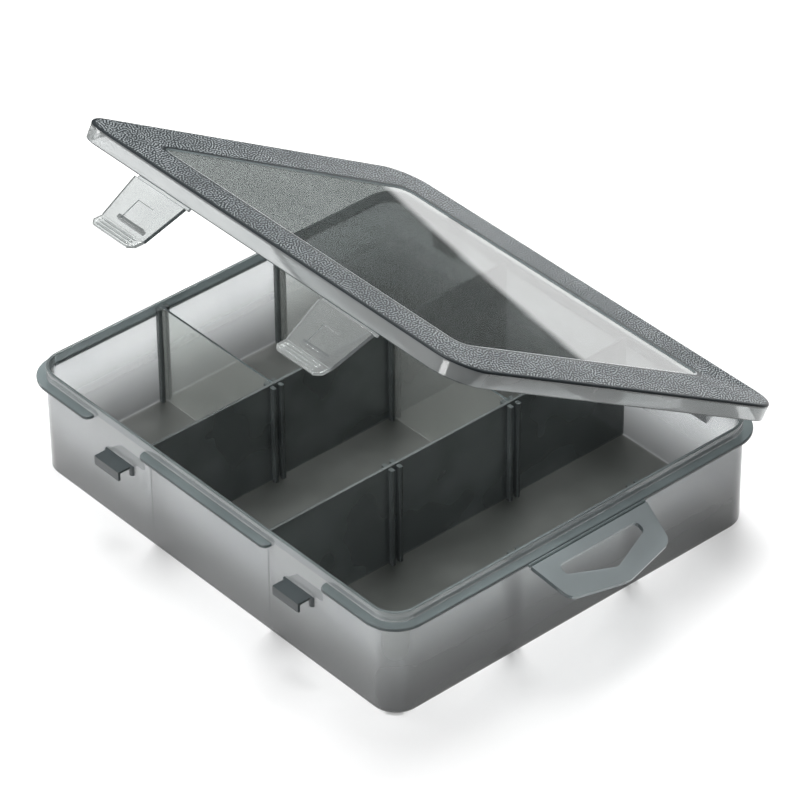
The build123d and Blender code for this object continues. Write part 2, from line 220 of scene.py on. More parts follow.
class GeometrySketch(NodeSketch):
    """A Geometry Nodes builder with named inputs, ending in one mesh of one material."""

    def __init__(self, name: str, inputs: dict[str, float | int]) -> None:
        """Starts a tree.

        Args:
            name: The tree's name.
            inputs: Default value by input name; a whole number makes a whole-number input.
        """
        super().__init__(bpy.data.node_groups.new(name, "GeometryNodeTree"))
        face = self.tree.interface
        face.new_socket("Geometry", in_out="INPUT", socket_type="NodeSocketGeometry")
        for label, value in inputs.items():
            kind = "NodeSocketInt" if isinstance(value, int) else "NodeSocketFloat"
            face.new_socket(label, in_out="INPUT", socket_type=kind).default_value = value
        face.new_socket("Material", in_out="INPUT", socket_type="NodeSocketMaterial")
        face.new_socket("Geometry", in_out="OUTPUT", socket_type="NodeSocketGeometry")
        self.given = self.tree.nodes.new("NodeGroupInput").outputs

    def vector(self, x: float | NodeSocket = 0.0, y: float | NodeSocket = 0.0,
               z: float | NodeSocket = 0.0) -> NodeSocket:
        """A vector from three numbers or sockets."""
        return self.add("ShaderNodeCombineXYZ", {"X": x, "Y": y, "Z": z}).outputs[0]

    def sweep(self, curve: Node, profile: Node, scale: float | NodeSocket = 1.0) -> NodeSocket:
        """A closed bar: a profile carried along a curve, scaled along its way."""
        return self.add("GeometryNodeCurveToMesh", {
            "Curve": curve.outputs[0], "Profile Curve": profile.outputs[0], "Scale": scale,
            "Fill Caps": True}).outputs[0]

    def repeated(self, points: Node, shape: NodeSocket) -> GeometryNodeTree:
        """Ends the tree with the shape on every point."""
        copies = self.add("GeometryNodeInstanceOnPoints", {"Points": points.outputs[0], "Instance": shape})
        return self.finish(copies.outputs[0])

    def finish(self, geometry: NodeSocket) -> GeometryNodeTree:
        """Ends the tree in Realize Instances and Set Material.

        Args:
            geometry: What the tree has made.

        Returns:
            The tree.
        """
        real = self.add("GeometryNodeRealizeInstances", {"Geometry": geometry})
        dressed = self.add("GeometryNodeSetMaterial", {
            "Geometry": real.outputs[0], "Material": self.given["Material"]})
        self.add("NodeGroupOutput", {"Geometry": dressed.outputs[0]})
        return self.tree


def stood(name: str, data: ID) -> Object:
    """Puts a mesh, lamp or camera into the scene.

    Args:
        name: The new object's name.
        data: What it holds.

    Returns:
        The new object.
    """
    thing = bpy.data.objects.new(name, data)
    bpy.context.scene.collection.objects.link(thing)
    return thing


def grown(tree: GeometryNodeTree, values: dict, material: Material,
          source: Mesh | None = None) -> Mesh:
    """Runs a Geometry Nodes tree once and keeps its result as a plain mesh.

    Args:
        tree: The tree.
        values: Input values by name.
        material: The material of the result.
        source: A mesh that goes in, if the tree shapes one.

    Returns:
        The new mesh, with no modifier behind it.
    """
    carrier = stood("carrier", source or bpy.data.meshes.new("carrier"))
    modifier = carrier.modifiers.new("grow", "NODES")
    modifier.node_group = tree
    wanted = {**values, "Material": material}
    for item in tree.interface.items_tree:
        if item.item_type == "SOCKET" and item.in_out == "INPUT" and item.name in wanted:
            modifier[item.identifier] = wanted[item.name]
    return applied(carrier)


def applied(carrier: Object) -> Mesh:
    """Turns what an object's live modifiers make into a plain mesh.

    Args:
        carrier: The object, which is removed.

    Returns:
        The plain mesh.
    """
    carrier.update_tag()
    depsgraph = bpy.context.evaluated_depsgraph_get()
    mesh = bpy.data.meshes.new_from_object(carrier.evaluated_get(depsgraph), depsgraph=depsgraph)
    bpy.data.objects.remove(carrier)
    return mesh


# --- mesh helpers ---
def mesh_of(bm: bmesh.types.BMesh, name: str) -> Mesh:
    """Turns a bmesh into a mesh.

    Args:
        bm: The bmesh, which is freed.
        name: The mesh's name.

    Returns:
        The mesh.
    """
    mesh = bpy.data.meshes.new(name)
    bm.to_mesh(mesh)
    bm.free()
    return mesh


def smooth(mesh: Mesh, angle: float = 32.0) -> Mesh:
    """Shades a mesh smooth between its sharp edges.

    Args:
        mesh: The mesh, which is changed.
        angle: Degrees past which an edge stays sharp.

    Returns:
        The same mesh.
    """
    mesh.shade_smooth()
    mesh.set_sharp_from_angle(angle=radians(angle))
    return mesh


def rounded_loop(half_x: float, half_y: float, radius: float, height: float, steps: int = 10) -> list[Vector]:
    """Points round a rectangle with rounded corners.

    Args:
        half_x: Half size along X.
        half_y: Half size along Y.
        radius: Corner radius.
        height: Z of the loop.
        steps: Spans in each corner.

    Returns:
        The points, anticlockwise from the +X side.
    """
    points = []
    for quarter, (sx, sy) in enumerate(((1, 1), (-1, 1), (-1, -1), (1, -1))):
        for step in range(steps + 1):
            turn = pi / 2 * (quarter + step / steps)
            points.append(Vector((sx * (half_x - radius) + radius * cos(turn),
                                  sy * (half_y - radius) + radius * sin(turn), height)))
    return points


def carried(profile: Sequence[Profile], corner: Vector, radius: float, steps: int = 10) -> list[list[Vector]]:
    """Carries a profile round a rounded rectangle.

    Args:
        profile: Distance outwards and height of each loop.
        corner: Half sizes of the rectangle.
        radius: Its corner radius.
        steps: Spans in each corner.

    Returns:
        A loop for each point of the profile.
    """
    return [rounded_loop(corner.x + out, corner.y + out, radius + out, height, steps)
            for out, height in profile]


def loft(loops: Sequence[Sequence[Vector]], name: str, ring: bool = False) -> Mesh:
    """Joins loops of the same length into a closed skin.

    Args:
        loops: The loops in order.
        name: The mesh's name.
        ring: True joins the last loop to the first; False caps both ends.

    Returns:
        The mesh, normals outward.
    """
    bm = bmesh.new()
    rows = [[bm.verts.new(point) for point in loop] for loop in loops]
    pairs = list(zip(rows, rows[1:])) + ([(rows[-1], rows[0])] if ring else [])
    for low, high in pairs:
        for i in range(len(low)):
            j = (i + 1) % len(low)
            bm.faces.new((low[i], low[j], high[j], high[i]))
    if not ring:
        bm.faces.new(rows[0])
        bm.faces.new(rows[-1])
    bmesh.ops.recalc_face_normals(bm, faces=bm.faces)
    return mesh_of(bm, name)


def arc(centre: Profile, radius: float, start: float, end: float, steps: int = 5) -> list[Profile]:
    """Points on an arc in a profile plane, angles in degrees."""
    angles = [radians(start + (end - start) * i / steps) for i in range(steps + 1)]
    return [(centre[0] + radius * cos(a), centre[1] + radius * sin(a)) for a in angles]


def prism(outline: Sequence[Profile], low: float, high: float, name: str) -> Mesh:
    """A plate from an outline in XY, between two heights."""
    return loft([[Vector((x, y, z)) for x, y in outline] for z in (low, high)], name)


def bevelled(mesh: Mesh, width: float, segments: int = 2, angle: float = 35.0) -> Mesh:
    """Rounds a mesh's sharp edges.

    Args:
        mesh: A closed mesh.
        width: Bevel width in metres.
        segments: Spans across the bevel.
        angle: Edges sharper than this many degrees are rounded.

    Returns:
        The rounded mesh.
    """
    carrier = stood("carrier", mesh)
    modifier = carrier.modifiers.new("round", "BEVEL")
    modifier.width = width
    modifier.segments = segments
    modifier.limit_method = "ANGLE"
    modifier.angle_limit = radians(angle)
    mesh.shade_smooth()
    flatten = carrier.modifiers.new("flatten", "WEIGHTED_NORMAL")
    flatten.weight = 100
    flatten.thresh = 0.02
    return applied(carrier)


def node_copy(node: str, width: float) -> Mesh:
    """A clean, edge-rounded copy of a CAD node's mesh, where it stands.

    Args:
        node: The CAD node.
        width: Bevel width in metres.

    Returns:
        The new mesh.
    """
    bm = bmesh.new()
    bm.from_mesh(frame["nodes"][node].data)
    bmesh.ops.remove_doubles(bm, verts=bm.verts, dist=WELD)
    bmesh.ops.dissolve_limit(bm, angle_limit=radians(SAME_PLANE), verts=bm.verts, edges=bm.edges)
    return bevelled(mesh_of(bm, node), width)


def plain(_face: MeshPolygon) -> int:
    """The first finish for every face."""
    return 0


def painted(mesh: Mesh, finishes: Sequence[Material], pick: FacePick = plain) -> Mesh:
    """Gives a mesh several finishes.

    Args:
        mesh: The mesh.
        finishes: The finishes, broad faces first.
        pick: Gives the place in that list for a face; a test gives 0 or 1.

    Returns:
        The same mesh.
    """
    mesh.materials.clear()
    for finish in finishes:
        mesh.materials.append(finish)
    for face in mesh.polygons:
        face.material_index = int(pick(face))
    return mesh


# --- placement ---
@dataclass
class Placement:
    """A design frame: what it rides on and how it stands.

    Attributes:
        body: The rigid body.
        stand: Matrix from the design frame to the row frame.
    """

    body: str
    stand: Matrix = field(default_factory=Matrix)

    def box(self, *nodes: str) -> tuple[Vector, Vector]:
        """Measures CAD nodes in the design frame.

        Args:
            *nodes: Their names.

        Returns:
            The lowest and the highest corner.
        """
        back = self.stand.inverted()
        points = [back @ v.co for node in nodes for v in frame["nodes"][node].data.vertices]
        return (Vector([min(p[i] for p in points) for i in range(3)]),
                Vector([max(p[i] for p in points) for i in range(3)]))

    def add(self, name: str, mesh: Mesh, slot: Slot, replaces: Iterable[str] = (),
            placed: bool = False) -> None:
        """Makes a piece of a mesh that holds its finishes, ties it to the body and reports it.

        Args:
            name: The piece's name.
            mesh: Its mesh, in the design frame.
            slot: The record slot; not used.
            replaces: CAD nodes that it stands for.
            placed: True if the mesh already stands in the row frame.
        """
        mesh.name = name
        if not placed:
            mesh.transform(self.stand)
        piece = stood(name, mesh)
        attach(piece, self.body)
        if replaces:
            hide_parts(*replaces)
        LOG.info("%s: %d faces on %s", name, len(mesh.polygons), self.body)

    def dress(self, node: str, width: float, slot: Slot, finishes: Sequence[Material],
              pick: FacePick = plain, ending: str = "moulded") -> None:
        """Replaces a CAD node by an edge-rounded copy.

        Args:
            node: The CAD node.
            width: Bevel width in metres.
            slot: The record slot.
            finishes: Its finishes, broad faces first.
            pick: Chooses a face's finish.
            ending: The last word of the piece's name.
        """
        mesh = painted(node_copy(node, width), finishes, pick)
        self.add(f"{node}_{ending}", mesh, slot, (node,), placed=True)


def joint_named(name: str) -> dict:
    """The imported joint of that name."""
    return next(joint for joint in frame["joints"] if joint["name"] == name)


def turned(centre: Sequence[float], axis: str, degrees: float, carry: Matrix | None = None) -> Matrix:
    """Makes the matrix of a turn.

    Args:
        centre: A point on the axis.
        axis: X, Y or Z.
        degrees: The turn.
        carry: An earlier matrix from a frame whose origin is that point, if there is one.

    Returns:
        The matrix.
    """
    shift = Matrix.Translation(Vector(centre))
    turn = shift @ Matrix.Rotation(radians(degrees), 4, axis)
    return turn @ (carry if carry is not None else shift.inverted())


# --- finishes ---
@dataclass(frozen=True)
class SmokePlastic:
    """Smoke-tinted polypropylene.

    Attributes:
        name: Material name.
        tint: Colour of the plastic.
        deep: Colour where the flow marks lie.
        see: Share that is seen through, 0 to 1.
        rough: Lowest and highest roughness.
        lamps: Share of the lamp light that one face lets through.
        peel: Depth of the moulded surface's slight waviness, in metres.
        painted_shade_height: Height of the painted shade that darkens a wall towards its foot, in metres, or
            0 for none.
        foot: Share of the tint that is left at the foot of the wall, where that painted shade is darkest.
        foot_see: Share that is seen through there.
        flow_marks: Size of the flow marks in its colour.
        scuffs: Size of the scuffs in its roughness.
        waves: Size of the waves of its surface.
        squeeze: How much the scuffs are squeezed along each axis.
    """

    name: str
    tint: Colour
    deep: Colour
    see: float
    rough: tuple[float, float] = (0.06, 0.16)
    lamps: float = 0.6
    peel: float = 0.02 * MM
    painted_shade_height: float = 0.0
    foot: float = 0.5
    foot_see: float = 0.5
    flow_marks: float = 35 * MM
    scuffs: float = 18 * MM
    waves: float = 20 * MM
    squeeze: Point = (1.0, 0.4, 2.2)

    def material(self) -> Material:
        """Builds the node material.

        Returns:
            The material.
        """
        sketch = ShaderSketch(self.name)
        place = sketch.object_place()
        flow = sketch.ranged(sketch.noise(place, self.flow_marks, 2.0), *FLOW_SPAN)
        colour = sketch.blend(flow, self.tint, self.deep)
        see = self.see
        # Painted shade: towards its foot the wall is painted darker and less clear.
        if self.painted_shade_height:
            height = sketch.add("ShaderNodeSeparateXYZ", {"Vector": place}).outputs["Z"]
            see = sketch.ranged(height, 0.0, self.painted_shade_height, (self.foot_see, self.see))
            share = sketch.ranged(height, 0.0, self.painted_shade_height, (1.0, 0.0))
            colour = sketch.blend(share, colour, tuple(self.foot * channel for channel in self.deep))
        stretched = sketch.add("ShaderNodeMapping", {"Vector": place, "Scale": self.squeeze}).outputs[0]
        rough = sketch.ranged(sketch.noise(stretched, self.scuffs), *SCUFF_SPAN, self.rough)
        normal = sketch.bump(sketch.noise(place, self.waves, 0.0), self.peel, PEEL_SHOWN)
        return sketch.plastic(self.lamps, {
            "Base Color": colour, "Roughness": rough, "Normal": normal, "Transmission Weight": see})


@dataclass(frozen=True)
class GrainedPlastic:
    """The lid border's leather-grained plastic: pale worm-like ridges over dark grooves.

    Attributes:
        name: Material name.
        groove: Colour in the grooves and on the smooth edges.
        ridge: Colour on the ridges.
        depth: Relief in metres.
        scale: Cells for each unit of the plan map, whose unit is the distance between ridges.
        lamps: Share of the lamp light that one face lets through.
        gloss: Specular level.
        rough: Roughness in the grooves and on the ridges.
        crest: Heights of the pattern between which a groove turns into a ridge.
        wear: Size of the worn patches on the ridges.
        worn: Share of the groove's colour on them.
    """

    name: str
    groove: Colour
    ridge: Colour
    depth: float = 0.15 * MM
    scale: float = 0.5
    lamps: float = 0.6
    gloss: float = 0.12
    rough: tuple[float, float] = (0.3, 0.42)
    crest: tuple[float, float] = (0.47, 0.6)
    wear: float = 20 * MM
    worn: float = 0.25

    def material(self) -> Material:
        """Builds the node material, which reads the border's plan map and grain attribute.

        Returns:
            The material.
        """
        sketch = ShaderSketch(self.name)
        plan = sketch.add("ShaderNodeUVMap", uv_map="plan").outputs[0]
        share = sketch.add("ShaderNodeAttribute", attribute_name="grain").outputs["Fac"]
        crests = sketch.ranged(sketch.worms(plan, self.scale), *self.crest)
        ridges = sketch.math("MULTIPLY", crests, share)
        patches = sketch.noise(sketch.object_place(), self.wear)
        wear = sketch.ranged(patches, *WEAR_SPAN, (0.0, self.worn))
        colour = sketch.blend(ridges, self.groove, sketch.blend(wear, self.ridge, self.groove))
        return sketch.plastic(self.lamps, {
            "Base Color": colour, "Roughness": sketch.ranged(ridges, 0.0, 1.0, self.rough),
            "Normal": sketch.bump(ridges, self.depth), "Specular IOR Level": self.gloss})


class Finishes:
    """Every finish on the box."""

    def __init__(self) -> None:
        """Builds the finishes."""
        # The wall is painted darker and less clear towards its foot, as painted shade.
        self.wall = SmokePlastic(
            "smoke_wall", (0.79, 0.81, 0.815), (0.75, 0.77, 0.78), 0.76, (0.06, 0.11), 0.84, painted_shade_height=44 * MM,
            foot=0.34, foot_see=0.55).material()
        self.rim = SmokePlastic(
            "smoke_rim", (0.26, 0.30, 0.305), (0.22, 0.255, 0.26), 0.55, (0.02, 0.05), 0.86).material()
        # Painted shade: the tray's floor is its walls' smoke plastic painted near black for the shade inside
        # the box.
        self.floor = SmokePlastic(
            "smoke_floor", (0.10, 0.105, 0.10), (0.08, 0.085, 0.08), 0.25, (0.12, 0.2), 0.5).material()
        # Painted shade: partitions and slot ribs are the smoke plastic painted dark for the shade inside the
        # box.
        self.dark = SmokePlastic(
            "smoke_partition", (0.17, 0.188, 0.187), (0.12, 0.135, 0.135), 0.45, (0.08, 0.16), 0.6).material()
        self.guide = SmokePlastic(
            "smoke_guide", (0.13, 0.147, 0.147), (0.095, 0.108, 0.109), 0.42, (0.05, 0.12), 0.6).material()
        self.lip = SmokePlastic(
            "smoke_lip", (0.25, 0.29, 0.295), (0.20, 0.235, 0.24), 0.52, (0.02, 0.05), 0.88).material()
        # Painted shade: a dark copy of the smoke plastic laid on edge faces as the dark outlines that clear
        # plastic shows.
        self.edge = SmokePlastic(
            "smoke_edge", (0.10, 0.122, 0.127), (0.075, 0.093, 0.098), 0.4, (0.02, 0.06), 0.8).material()
        self.skirt = SmokePlastic(
            "smoke_skirt", (0.60, 0.62, 0.62), (0.55, 0.575, 0.575), 0.67, (0.05, 0.1), 0.84).material()
        self.latch = SmokePlastic(
            "smoke_latch", (0.52, 0.54, 0.535), (0.48, 0.50, 0.497), 0.8, (0.03, 0.07), 0.84).material()
        self.flap = SmokePlastic(
            "smoke_flap", (0.42, 0.465, 0.475), (0.38, 0.42, 0.43), 0.58, (0.05, 0.09), 0.84).material()
        self.pane = SmokePlastic(
            "clear_pane", (0.23, 0.25, 0.245), (0.215, 0.235, 0.23), 1.0, (0.0, 0.003), 0.9,
            peel=0.012 * MM).material()
        self.divider = SmokePlastic(
            "clear_divider", (0.78, 0.805, 0.78), (0.74, 0.765, 0.74), 0.88, (0.01, 0.04), 0.9).material()
        self.hinge = SmokePlastic(
            "smoke_hinge", (0.075, 0.09, 0.095), (0.055, 0.065, 0.07), 0.3, (0.08, 0.16), 0.6).material()
        self.border = GrainedPlastic(
            "grained_border", (0.024, 0.029, 0.032), (0.35, 0.38, 0.39)).material()


# --- Geometry Nodes trees ---
def rib_row_tree() -> GeometryNodeTree:
    """Parallel finger ribs along X, stacked down Z, each tapered to round ends.

    Returns:
        The tree.
    """
    spans, sides, bluntness, beyond_end = 24, 14, 14.0, 1.02
    sketch = GeometrySketch("rib_row", {"Count": 3, "Pitch": 2 * MM, "Length": 20 * MM, "Radius": 0.5 * MM})
    given = sketch.given
    half = sketch.math("MULTIPLY", given["Length"], 0.5)
    spine = sketch.add("GeometryNodeCurvePrimitiveLine", {
        "Start": sketch.vector(sketch.math("MULTIPLY", half, -1.0)), "End": sketch.vector(half)})
    dense = sketch.add("GeometryNodeResampleCurve", {"Curve": spine.outputs[0], "Count": spans})
    along = sketch.add("GeometryNodeSplineParameter").outputs["Factor"]
    centred = sketch.math("ABSOLUTE", sketch.math("MULTIPLY_ADD", along, 2.0, -1.0))
    bulge = sketch.math("POWER", centred, bluntness)
    swell = sketch.math("SQRT", sketch.math("SUBTRACT", beyond_end, bulge))
    shaped = sketch.add("GeometryNodeSetCurveRadius", {"Curve": dense.outputs[0], "Radius": swell})
    ring = sketch.add("GeometryNodeCurvePrimitiveCircle", {"Resolution": sides, "Radius": given["Radius"]})
    down = sketch.vector(z=sketch.math("MULTIPLY", given["Pitch"], -1.0))
    row = sketch.add("GeometryNodeMeshLine", {"Count": given["Count"], "Offset": down})
    return sketch.repeated(row, sketch.sweep(shaped, ring, swell))


def slot_tree() -> GeometryNodeTree:
    """A divider slot: two upright ribs with rounded corners, standing out towards +X.

    Returns:
        The tree.
    """
    sketch = GeometrySketch("divider_slot", {
        "Height": 49 * MM, "Depth": 2.6 * MM, "Rib": 2 * MM, "Spacing": 4.2 * MM, "Round": 0.5 * MM})
    given = sketch.given
    face = sketch.add("GeometryNodeCurvePrimitiveQuadrilateral", {
        "Width": given["Depth"], "Height": given["Rib"]})
    soft = sketch.add("GeometryNodeFilletCurve", {
        "Curve": face.outputs[0], "Radius": given["Round"], "Count": 4}, mode="POLY")
    spine = sketch.add("GeometryNodeCurvePrimitiveLine", {"End": sketch.vector(z=given["Height"])})
    start = sketch.vector(sketch.math("MULTIPLY", given["Depth"], 0.5),
                          sketch.math("MULTIPLY", given["Spacing"], -0.5))
    row = sketch.add("GeometryNodeMeshLine", {
        "Count": 2, "Start Location": start, "Offset": sketch.vector(y=given["Spacing"])})
    return sketch.repeated(row, sketch.sweep(spine, soft))


def dot_grid_tree() -> GeometryNodeTree:
    """Round ejector marks, low discs on a grid in XY.

    Returns:
        The tree.
    """
    sketch = GeometrySketch("ejector_marks", {
        "Columns": 3, "Rows": 3, "Pitch X": 60 * MM, "Pitch Y": 60 * MM, "Radius": 2 * MM,
        "Height": 0.2 * MM})
    given = sketch.given
    width, length = (sketch.math("MULTIPLY", given[pitch], sketch.math("SUBTRACT", given[count], 1.0))
                     for pitch, count in (("Pitch X", "Columns"), ("Pitch Y", "Rows")))
    grid = sketch.add("GeometryNodeMeshGrid", {
        "Size X": width, "Size Y": length, "Vertices X": given["Columns"], "Vertices Y": given["Rows"]})
    disc = sketch.add("GeometryNodeMeshCylinder", {
        "Vertices": 28, "Radius": given["Radius"], "Depth": given["Height"]})
    return sketch.repeated(grid, disc.outputs[0])


def grain_tree() -> GeometryNodeTree:
    """Raises worm-like ridges on a surface where its "grain" attribute is above 0.

    Returns:
        The tree.
    """
    sketch = GeometrySketch("lid_grain", {
        "Along": 1.4 * MM, "Across": 3 * MM, "Slant": 0.6, "Scale": 0.5, "Depth": 0.2 * MM})
    given = sketch.given
    place = sketch.add("GeometryNodeInputPosition").outputs[0]
    turn = sketch.add("ShaderNodeVectorRotate", {
        "Vector": place, "Angle": sketch.math("MULTIPLY", given["Slant"], -1.0)}, rotation_type="Z_AXIS")
    parts = sketch.add("ShaderNodeSeparateXYZ", {0: turn.outputs[0]}).outputs
    plan = sketch.vector(sketch.math("DIVIDE", parts["X"], given["Along"]),
                         sketch.math("DIVIDE", parts["Y"], given["Across"]))
    mapped = sketch.add("GeometryNodeStoreNamedAttribute", {
        "Geometry": given["Geometry"], "Name": "plan", "Value": plan}, data_type="FLOAT2", domain="CORNER")
    share = sketch.add("GeometryNodeInputNamedAttribute", {"Name": "grain"}, data_type="FLOAT")
    ridge = sketch.ranged(sketch.worms(plan, given["Scale"]), *GRAIN_SPAN)
    lift = sketch.math("MULTIPLY", sketch.math("MULTIPLY", ridge, share.outputs["Attribute"]), given["Depth"])
    raised = sketch.add("GeometryNodeSetPosition", {
        "Geometry": mapped.outputs[0], "Offset": sketch.vector(z=lift)})
    return sketch.finish(raised.outputs[0])


@dataclass(frozen=True)
class Trees:
    """The Geometry Nodes trees, built once."""

    ribs: GeometryNodeTree = field(default_factory=rib_row_tree)
    slot: GeometryNodeTree = field(default_factory=slot_tree)
    dots: GeometryNodeTree = field(default_factory=dot_grid_tree)
    grain: GeometryNodeTree = field(default_factory=grain_tree)


@dataclass
class Assembly:
    """What every sub-assembly is built with.

    Attributes:
        place: Where it stands.
        finishes: The finishes.
        trees: The Geometry Nodes trees.
    """

    place: Placement
    finishes: Finishes
    trees: Trees


# --- the tray ---
@dataclass
class Tray(Assembly):
    """The moulded tray: shell, rim, ledge, catches and hinge lugs.

    Attributes:
        radius: Corner radius of the wall.
        wall: Wall thickness.
        rim_wall: Rim thickness.
        floor: Floor thickness.
        foot_radius: Rounding between the wall and the underside.
        foot_width: Width of the ring that the tray stands on.
        foot_rise: Height of the underside inside that ring.
        rim_round: Rounding of the rim's top.
        floor_round: Rounding between the wall and the floor inside.
        slope: Height of the slope between the wall and the thinner rim.
        marks: Ejector marks along X and along Y.
        mark_radius: Radius of an ejector mark.
        mark_height: Height of an ejector mark.
        soft: Rounding of small edges.
    """

    radius: float = 12 * MM
    wall: float = 1.6 * MM
    rim_wall: float = 1.4 * MM
    floor: float = 1.8 * MM
    foot_radius: float = 2.2 * MM
    foot_width: float = 3.0 * MM
    foot_rise: float = 0.35 * MM
    rim_round: float = 0.35 * MM
    floor_round: float = 1.0 * MM
    slope: float = 0.6 * MM
    marks: int = 3
    mark_radius: float = 3.0 * MM
    mark_height: float = 0.12 * MM
    soft: float = 0.3 * MM

    def build(self) -> None:
        """Builds every piece of the tray."""
        self.shell()
        self.ledge()
        self.fittings()
        self.ejector_marks()

    def shell(self) -> None:
        """Walls, rim and floor as one closed skin."""
        high = self.place.box("base_tray", "base_rim")[1]
        step = self.place.box("base_tray")[1].z
        edge, inner = self.rim_round, self.floor_round
        outside = [(-self.foot_radius - self.foot_width - self.foot_rise, self.foot_rise),
                   (-self.foot_radius - self.foot_width, 0.0)]
        outside += arc((-self.foot_radius, self.foot_radius), self.foot_radius, 270, 360)
        outside += arc((-edge, high.z - edge), edge, 0, 90, 3)
        inside = arc((-self.rim_wall + edge, high.z - edge), edge, 90, 180, 3)
        inside += [(-self.rim_wall, step), (-self.wall, step - self.slope)]
        inside += arc((-self.wall - inner, self.floor + inner), inner, 0, -90, 4)
        loops = carried(outside + inside, high, self.radius)

        def part(face: MeshPolygon) -> int:
            """0 on the wall, 1 on the floor and 2 on the rim."""
            low_and_flat = abs(face.normal.z) > FLAT and face.center.z < 2 * self.floor
            past_wall = max(abs(face.center.x) - high.x, abs(face.center.y) - high.y)
            if low_and_flat and past_wall < -self.foot_radius:
                return 1
            return 2 if face.center.z > step else 0

        # The floor's near-black finish is painted shade.
        finishes = (self.finishes.wall, self.finishes.floor, self.finishes.rim)
        mesh = painted(smooth(loft(loops, "tray_shell")), finishes, part)
        self.place.add("tray_shell", mesh, Slot.SHELL, ("base_tray", "base_rim"))

    def ledge(self) -> None:
        """The outer ledge's runs, with rounded edges."""
        for run in ("front", "back", "left", "right"):
            # Upright faces of the ledge take the dark edge finish, painted shade.
            self.place.dress(f"ledge_{run}", self.soft / 2, Slot.SHELL,
                             (self.finishes.lip, self.finishes.edge),
                             lambda face: abs(face.normal.z) < FLAT, "lip")

    def fittings(self) -> None:
        """Catches, hinge lugs and pins on the outside, and the handle's strip."""
        for side in Side:
            for stem, share in (("latch_catch", 0.5), ("hinge_lug", 1.0), ("hinge_pin", 1 / 3)):
                node = f"{stem}_{side.value}"
                self.place.dress(node, self.soft * share, Slot.SHELL, (self.finishes.hinge,))
        self.place.dress("handle_film", self.soft / 3, Slot.FLAP, (self.finishes.lip,))

    def ejector_marks(self) -> None:
        """Round marks on the floor of each column."""
        low, high = self.place.box("base_tray")
        # The marks take the floor's finish, and so its painted shade.
        mesh = grown(self.trees.dots, {
            "Columns": self.marks, "Rows": self.marks, "Pitch X": (high.x - low.x) / self.marks,
            "Pitch Y": (high.y - low.y) / self.marks, "Radius": self.mark_radius,
            "Height": self.mark_height}, self.finishes.floor)
        mesh.transform(Matrix.Translation((0, 0, self.floor + self.mark_height / 2)))
        self.place.add("floor_ejector_marks", smooth(mesh), Slot.SHELL)


@dataclass
class Inside(Assembly):
    """Fixed partitions and the ribbed slots that the dividers slide in.

    Attributes:
        rounding: Rounding of the ribs.
        marks: Round marks between two ribs.
        mark_pitch: Distance between them, as a share of the ribs' height.
        mark_radius: Radius of a mark.
        mark_height: How far a mark stands out.
        soft: Rounding of the partitions' edges.
    """

    rounding: float = 0.55 * MM
    marks: int = 3
    mark_pitch: float = 0.3
    mark_radius: float = 0.75 * MM
    mark_height: float = 0.16 * MM
    soft: float = 0.35 * MM

    def build(self) -> None:
        """Builds partitions and slots."""
        # The partitions' and slot ribs' dark finishes are painted shade.
        for side in Side:
            self.place.dress(f"partition_{side.value}", self.soft, Slot.DARK, (self.finishes.dark,))
        for column in ("left", "middle", "right"):
            for row in ("front", "back"):
                self.slot(f"guide_{column}_{row}_a", 1)
                self.slot(f"guide_{column}_{row}_b", -1)

    def slot(self, name: str, facing: int) -> None:
        """One pair of upright ribs on a wall face, with the small round marks between them.

        Args:
            name: The stem of the two CAD nodes' names.
            facing: 1 if the ribs stand out towards +X, -1 towards -X.
        """
        nodes = (f"{name}1", f"{name}2")
        low, high = self.place.box(*nodes)
        rib_low, rib_high = self.place.box(nodes[0])
        size = rib_high - rib_low
        mesh = grown(self.trees.slot, {
            "Height": size.z, "Depth": size.x, "Rib": size.y, "Spacing": high.y - low.y - size.y,
            "Round": self.rounding}, self.finishes.guide)
        turn = Matrix() if facing > 0 else Matrix.Rotation(pi, 4, "Z")
        foot = Vector((low.x if facing > 0 else high.x, (low.y + high.y) / 2, low.z))
        mesh.transform(Matrix.Translation(foot) @ turn)
        self.place.add(f"{name}_ribs", smooth(mesh), Slot.DARK, nodes)
        mesh = grown(self.trees.dots, {
            "Columns": self.marks, "Rows": 1, "Pitch X": size.z * self.mark_pitch, "Pitch Y": size.z,
            "Radius": self.mark_radius, "Height": self.mark_height}, self.finishes.guide)
        stand = Matrix.Translation(foot + Vector((facing * self.mark_height / 2, 0, size.z / 2)))
        mesh.transform(stand @ Matrix.Rotation(pi / 2, 4, "Y"))
        self.place.add(f"{name}_marks", smooth(mesh), Slot.DARK)


@dataclass
class Divider(Assembly):
    """A clear lift-out divider with a thicker band at each end.

    Attributes:
        band: Width of the band.
        panel: Share of the thickness that the middle of the plate keeps.
        round_over: Edges sharper than this many degrees are rounded.
        top: Faces whose normal has a greater share of Z than this have the dark edge finish, a painted shade
            line.
        soft: Rounding of its edges.
    """

    band: float = 2.6 * MM
    panel: float = 0.72
    round_over: float = 50.0
    top: float = 0.9
    soft: float = 0.22 * MM

    def build(self) -> None:
        """Builds the plate in place of its CAD node."""
        node = self.place.body
        low, high = self.place.box(node)
        middle, half = (low.y + high.y) / 2, (high.y - low.y) / 2
        thin = half * self.panel
        step = half - thin
        upper = [(low.x, half), (low.x + self.band, half), (low.x + self.band + step, thin),
                 (high.x - self.band - step, thin), (high.x - self.band, half), (high.x, half)]
        outline = [(x, middle + y) for x, y in upper] + [(x, middle - y) for x, y in reversed(upper)]
        mesh = bevelled(prism(outline, low.z, high.z, node), self.soft, angle=self.round_over)
        painted(mesh, (self.finishes.divider, self.finishes.edge), lambda face: face.normal.z > self.top)
        self.place.add(f"{node}_plate", mesh, Slot.PANE, (node,))


